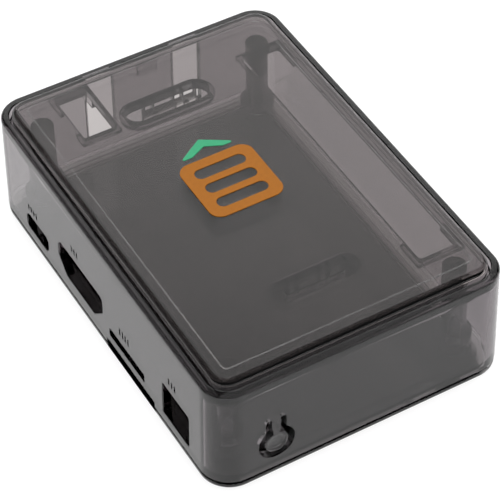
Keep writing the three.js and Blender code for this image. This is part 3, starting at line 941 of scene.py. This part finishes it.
def ink_material(name, color):
    """Satin print, finely mottled and slightly uneven."""
    material, tree = new_material(name)
    grain = noise(tree, object_coords(tree), scale=1400, detail=5)
    bump = add_node(tree, "ShaderNodeBump", {
        "Strength": 0.15, "Distance": 0.00001, "Height": grain})
    bsdf = add_node(tree, "ShaderNodeBsdfPrincipled", {
        "Base Color": color_ramp(tree, grain, low=[c * 0.94 for c in color],
                                 high=[c * 1.05 for c in color], start=0.3, end=0.75),
        "Roughness": 0.45,
        "Specular IOR Level": 0.25,
        "Normal": bump.outputs["Normal"],
    })
    add_node(tree, "ShaderNodeOutputMaterial", {"Surface": bsdf.outputs["BSDF"]})
    return material


def steel_material():
    material, tree = new_material("zinc_steel")
    grain = noise(tree, object_coords(tree), scale=900, detail=4)
    bsdf = add_node(tree, "ShaderNodeBsdfPrincipled", {
        "Metallic": 1,
        "Base Color": color_ramp(tree, grain, low=(0.32, 0.32, 0.34), high=(0.62, 0.62, 0.64)),
        "Roughness": map_range(tree, grain, to_min=0.22, to_max=0.45),
    })
    add_node(tree, "ShaderNodeOutputMaterial", {"Surface": bsdf.outputs["BSDF"]})
    return material


# The tables below list boxes in mm as (low corner), (high corner); a tone adds shade and painted light, both
# painted onto the surface:
# shade multiplies the light passed, painted light is the share of the surface made opaque and diffusely lit.

# the stem's top in the wall, one moulding with it
STEM_WELD = ((TOP_L / 2 - 2, BUTTON_Y - PADDLE_STEM - 0.02, PRONG_Z - 0.025),
             (TOP_L / 2 + 0.6, BUTTON_Y + PADDLE_STEM + 0.02, PRONG_Z + 0.005))


def root_welds(x0, x1, y0, y1, windows):
    """Where a tongue's legs, left standing between its windows, meet the lid."""
    spare_xy, spare_z = 0.02, 0.005
    starts = [y0 - spare_xy] + [end for _, end in windows]
    ends = [start for start, _ in windows] + [y1 + spare_xy]
    return [((x0 - spare_xy, start, LATCH_Z1 - spare_z), (x1 + spare_xy, end, LID_CEILING + spare_z))
            for start, end in zip(starts, ends)]


def painted_opening_shade(x0, x1, y0, y1, shade):
    """Painted shade on the faces round an opening in the deck."""
    spare = 0.06
    return ((x0 - spare, y0 - spare, RIB_BOTTOM - 0.05),
            (x1 + spare, y1 + spare, DECK_Z - 0.02), shade, 0.0)


# painted shade and painted light on the upper shell and the button
SHELL_PAINTED_SHADING = [
    # painted shade round the two windows in the deck
    painted_opening_shade(*SMALL_WINDOW, 0.20),
    painted_opening_shade(*LONG_WINDOW, 0.20),
    # painted shade inside the rim, right and front
    ((37.15, -30.0, 19.72), (38.2, 30.0, 20.90), 0.60, 0.0),
    ((-40.0, -26.5, 19.72), (40.0, -25.5, 20.90), 0.85, 0.0),
    # painted light on the top of the rim, right and front
    ((37.2, -30.0, 20.92), (40.0, 30.0, 21.6), 1.0, 0.035),
    ((-30.0, -30.0, 20.92), (37.0, -25.4, 21.6), 1.0, 0.02),
    # the wall's foot, a painted shadow line above the seam
    ((-26.0, -28.0, 1.2), (40.0, 22.0, 1.40), 0.10, 0.0),
    # the button and its slot: faint painted shade and a little painted light
    ((37.7, BUTTON_Y - 3.5, 3.5), (38.94, BUTTON_Y + 3.5, 12.5), 0.9, 0.035),
]
# deep painted shade round the two round-ended openings
for x, y in WELLS:
    SHELL_PAINTED_SHADING.append(painted_opening_shade(x - WELL_HALF_X, x + WELL_HALF_X,
                                    y - WELL_HALF_Y, y + WELL_HALF_Y, 0.05))
for x, y in HOLES.values():
    # painted shade on the screw posts
    SHELL_PAINTED_SHADING.append(((x - 3.2, y - 3.2, 4.2), (x + 3.2, y + 3.2, 18.25), 0.5, 0.0))

# painted shade and painted light on the lid and its tongues
LID_PAINTED_SHADING = [
    # painted shade, with a little painted light, on the right and front edges and skirt of the lid
    ((35.2, -30.0, 20.0), (37.0, 19.0, 22.42), 0.12, 0.03),
    ((-37.0, -25.3, 20.0), (35.2, -23.6, 22.42), 0.12, 0.02),
    # painted highlight on the edge of the raised field
    ((-40.0, -30.0, LID_Z + 0.004), (40.0, 30.0, LID_Z + FIELD_H - 0.003), 1.0, 0.14),
    # painted shade at the root of the far tongue, below and beside its windows
    ((-26.6, -4.8, SILL - 0.85), (-25.35, 5.8, SILL + 0.05), 0.22, 0.0),
    ((-26.6, -4.8, SILL + 0.05), (-25.35, 5.8, 21.1), 0.35, 0.0),
    # painted light on the near tongue below its windows, painted shade at its root
    ((21.9, -5.1, 16.9), (23.6, 6.0, SILL - 0.25), 1.0, 0.12),
    ((21.9, -5.1, SILL - 0.25), (23.6, 6.0, 21.1), 0.2, 0.0),
]

LIP_IN = WALL + LIP_GAP + LIP_T        # from the rim's outline to the lip's inner face
LIP_LEFT, LIP_REAR = -TOP_L / 2 + LIP_IN, TOP_W / 2 - LIP_IN
# painted shade and painted light on the cover
COVER_PAINTED_SHADING = [
    # painted light on the inner face of the lip, rear and left
    ((-30.0, LIP_REAR - 0.05, FLOOR_T + 0.02), (34.0, LIP_REAR + 0.35, LIP_Z + 0.01), 1.0, 0.5),
    ((LIP_LEFT - 0.35, -24.0, FLOOR_T + 0.02), (LIP_LEFT + 0.05, 24.0, LIP_Z + 0.01), 1.0, 0.5),
    # painted shade on everything but the left and rear edges
    ((LIP_LEFT + 0.06, -30.0, -0.1), (40.0, LIP_REAR - 0.06, 3.0), 0.28, 0.0),
]
# painted black shade that reflects nothing: the seam and the foot of the cover, right and front, and its edge
# below the notch
COVER_PAINTED_SHADOW = [
    ((36.9, -30.0, 0.78), (40.0, 22.0, 0.96)),
    ((-38.0, -30.0, 0.78), (40.0, -25.0, 0.96)),
    ((37.9, -30.0, -0.05), (40.0, 24.0, 0.20)),
    ((-38.5, -30.0, -0.05), (40.0, -26.2, 0.20)),
    ((2.3, -30.0, -0.05), (18.9, -26.2, 0.96)),
]
COVER_PAINTED_SHADING += [(low, high, 0.05, 0.0) for low, high in COVER_PAINTED_SHADOW]

SHELL = smoke("smoke_shell", (490, 527, 508), [STEM_WELD], SHELL_PAINTED_SHADING)
COVER = smoke("smoke_cover", (560, 585, 585), COVER_PAINTED_SHADOW, COVER_PAINTED_SHADING)
LID = smoke("smoke_lid", (415, 452, 458), root_welds(*FAR_LATCH) + root_welds(*NEAR_LATCH),
            LID_PAINTED_SHADING)
ORANGE = ink_material("ink_orange", (0.40, 0.135, 0.006))
GREEN = ink_material("ink_green", (0.050, 0.41, 0.20))
STEEL = steel_material()

# object, body it rides on, slot, material, part it replaces
PARTS = [
    (shell, "case", "smoke_shell", SHELL, "upper_shell"),
    (cover, "case", "smoke_cover", COVER, "bottom_cover"),
    (button, "button", "smoke_shell", SHELL, "power_button"),
    (lid, "lid", "smoke_lid", LID, "lid_panel"),
    (latch_far, "latch_far", "smoke_lid", LID, "lid_latch_far"),
    (latch_near, "latch_near", "smoke_lid", LID, "lid_latch_near"),
    (print_square, "lid", "print_orange", ORANGE, "lid_print_square"),
    (print_chevron, "lid", "print_green", GREEN, "lid_print_chevron"),
]
PARTS += [(screw, "case", "screw_steel", STEEL, "case_screw_" + place)
          for place, screw in screws.items()]
for obj, body, slot_name, material, replaced in PARTS:
    obj.data.materials.clear()
    obj.data.materials.append(material)
    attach(obj, body)
    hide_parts(replaced)


# ---- world ----------------------------------------------------------------------------------------------
def lobe(tree, coords, direction, inner, outer):
    """1 within inner degrees of a direction, falling to 0 at outer degrees."""
    dot = add_node(tree, "ShaderNodeVectorMath",
                   {0: coords, 1: Vector(direction).normalized()}, operation="DOT_PRODUCT")
    return map_range(tree, dot.outputs["Value"], from_min=math.cos(math.radians(outer)),
                     from_max=math.cos(math.radians(inner)), interpolation_type="SMOOTHSTEP")


def build_world():
    """Reflections see a big soft box above and behind the case, a white sweep low down behind
    it and a dark room elsewhere. The camera and diffuse light see an even white sky."""
    room, lamp, sky = 0.07, 1.38, 1.12
    world = bpy.data.worlds.new("studio")
    world.use_nodes = True
    tree = world.node_tree
    tree.nodes.clear()
    coords = add_node(tree, "ShaderNodeTexCoord").outputs["Generated"]
    soft_box = lobe(tree, coords, (-0.785, 0.453, 0.423), inner=18, outer=33)
    sweep = math_node(tree, "MULTIPLY",
                      lobe(tree, coords, (-0.866, 0.5, 0.0), inner=60, outer=95),
                      lobe(tree, coords, (0, 0, -1), inner=96, outer=112))
    lights = math_node(tree, "MAXIMUM", soft_box, sweep)
    lit = math_node(tree, "ADD", room, math_node(tree, "MULTIPLY", lamp - room, lights))
    path = add_node(tree, "ShaderNodeLightPath").outputs
    plain = math_node(tree, "MAXIMUM", path["Is Camera Ray"], path["Is Diffuse Ray"])
    not_plain = math_node(tree, "SUBTRACT", 1.0, plain)
    strength = math_node(tree, "ADD", math_node(tree, "MULTIPLY", lit, not_plain),
                         math_node(tree, "MULTIPLY", plain, sky))
    background = add_node(tree, "ShaderNodeBackground",
                          {"Color": (1, 1, 1, 1), "Strength": strength})
    add_node(tree, "ShaderNodeOutputWorld", {"Surface": background.outputs["Background"]})
    return world


# ---- floor: a glowing white table, with a painted shadow under the case -------------------------------------
def case_distance(tree, x, y):
    """Signed distance in metres outside the case's footprint. The light comes from behind, so
    the glow reaches in under the two far edges."""
    reach, corner = 0.0014, OUTER_R / 1000
    from_x = math_node(tree, "ABSOLUTE", math_node(tree, "SUBTRACT", x, reach))
    from_y = math_node(tree, "ABSOLUTE", math_node(tree, "ADD", y, reach))
    past_x = math_node(tree, "SUBTRACT", from_x, TOP_L / 2000 - reach - corner)
    past_y = math_node(tree, "SUBTRACT", from_y, TOP_W / 2000 - reach - corner)
    out_x = math_node(tree, "MAXIMUM", past_x, 0.0)
    out_y = math_node(tree, "MAXIMUM", past_y, 0.0)
    square_sum = math_node(tree, "ADD", math_node(tree, "MULTIPLY", out_x, out_x),
                           math_node(tree, "MULTIPLY", out_y, out_y))
    outside = math_node(tree, "SQRT", square_sum)
    inside = math_node(tree, "MINIMUM", math_node(tree, "MAXIMUM", past_x, past_y), 0.0)
    return math_node(tree, "SUBTRACT", math_node(tree, "ADD", outside, inside), corner)


def table_material():
    material, tree = new_material("table_white")
    geometry = add_node(tree, "ShaderNodeNewGeometry").outputs
    axes = add_node(tree, "ShaderNodeSeparateXYZ", {0: geometry["Position"]}).outputs
    gap = case_distance(tree, axes["X"], axes["Y"])
    # under the case the glow fades out and the paper's grey darkens: a painted shadow under the case
    glow = add_node(tree, "ShaderNodeEmission", {
        "Strength": map_range(tree, gap, to_max=0.83, from_min=-0.001, from_max=0.0003,
                              interpolation_type="SMOOTHSTEP")})
    paper_with_painted_shadow = map_range(tree, gap, to_min=0.06, to_max=0.32, from_min=-0.0017, from_max=0.0023,
                      interpolation_type="SMOOTHSTEP")
    grey = add_node(tree, "ShaderNodeCombineColor", {0: paper_with_painted_shadow, 1: paper_with_painted_shadow, 2: paper_with_painted_shadow})
    diffuse = add_node(tree, "ShaderNodeBsdfDiffuse", {"Color": grey.outputs["Color"]})
    both = add_node(tree, "ShaderNodeAddShader",
                    {0: diffuse.outputs["BSDF"], 1: glow.outputs["Emission"]})
    # clear when seen from below
    clear = add_node(tree, "ShaderNodeBsdfTransparent")
    mix = add_node(tree, "ShaderNodeMixShader", {
        "Fac": geometry["Backfacing"], 1: both.outputs["Shader"], 2: clear.outputs["BSDF"]})
    add_node(tree, "ShaderNodeOutputMaterial", {"Surface": mix.outputs["Shader"]})
    return material


def build_floor():
    bm = bmesh.new()
    bmesh.ops.create_grid(bm, x_segments=1, y_segments=1, size=3.0)
    floor = link_mesh(bm, "floor")
    floor.location.z = -0.0001
    floor.data.materials.append(table_material())


# ---- camera: looks down from the front right ------------------------------------------------------------------
def build_camera():
    azimuth, elevation, roll = (math.radians(v) for v in (60.775516, 45.920479, -1.09802))
    distance, shift_right, shift_up = 0.39573213, 0.00105597, 0.00457884
    back = Vector((math.sin(azimuth) * math.cos(elevation),
                   -math.cos(azimuth) * math.cos(elevation),
                   math.sin(elevation)))
    level_right = (-back).cross(Vector((0, 0, 1))).normalized()
    level_up = level_right.cross(-back)
    right = math.cos(roll) * level_right + math.sin(roll) * level_up
    upward = -math.sin(roll) * level_right + math.cos(roll) * level_up
    place = back * distance + right * shift_right + upward * shift_up
    data = bpy.data.cameras.new("camera")
    camera = bpy.data.objects.new("camera", data)
    bpy.context.scene.collection.objects.link(camera)
    rows = [(right[k], upward[k], back[k], place[k]) for k in range(3)]
    camera.matrix_world = Matrix((*rows, (0, 0, 0, 1)))
    data.sensor_width = 36
    data.lens = 166.95504
    data.clip_start, data.clip_end = 0.01, 20
    return camera


scene = bpy.context.scene
scene.world = build_world()
build_floor()
scene.camera = build_camera()

# ---- render settings ------------------------------------------------------------------------------------------
scene.view_settings.view_transform = "Standard"
scene.view_settings.look = "None"
cycles = scene.cycles
# light crosses many clear walls before it leaves the case
cycles.max_bounces = 40
cycles.transmission_bounces = 40
cycles.glossy_bounces = 24
cycles.diffuse_bounces = 6
cycles.transparent_max_bounces = 24
cycles.volume_bounces = 0
cycles.caustics_refractive = True
cycles.caustics_reflective = True
cycles.use_adaptive_sampling = False
cycles.use_denoising = True
cycles.seed = 7
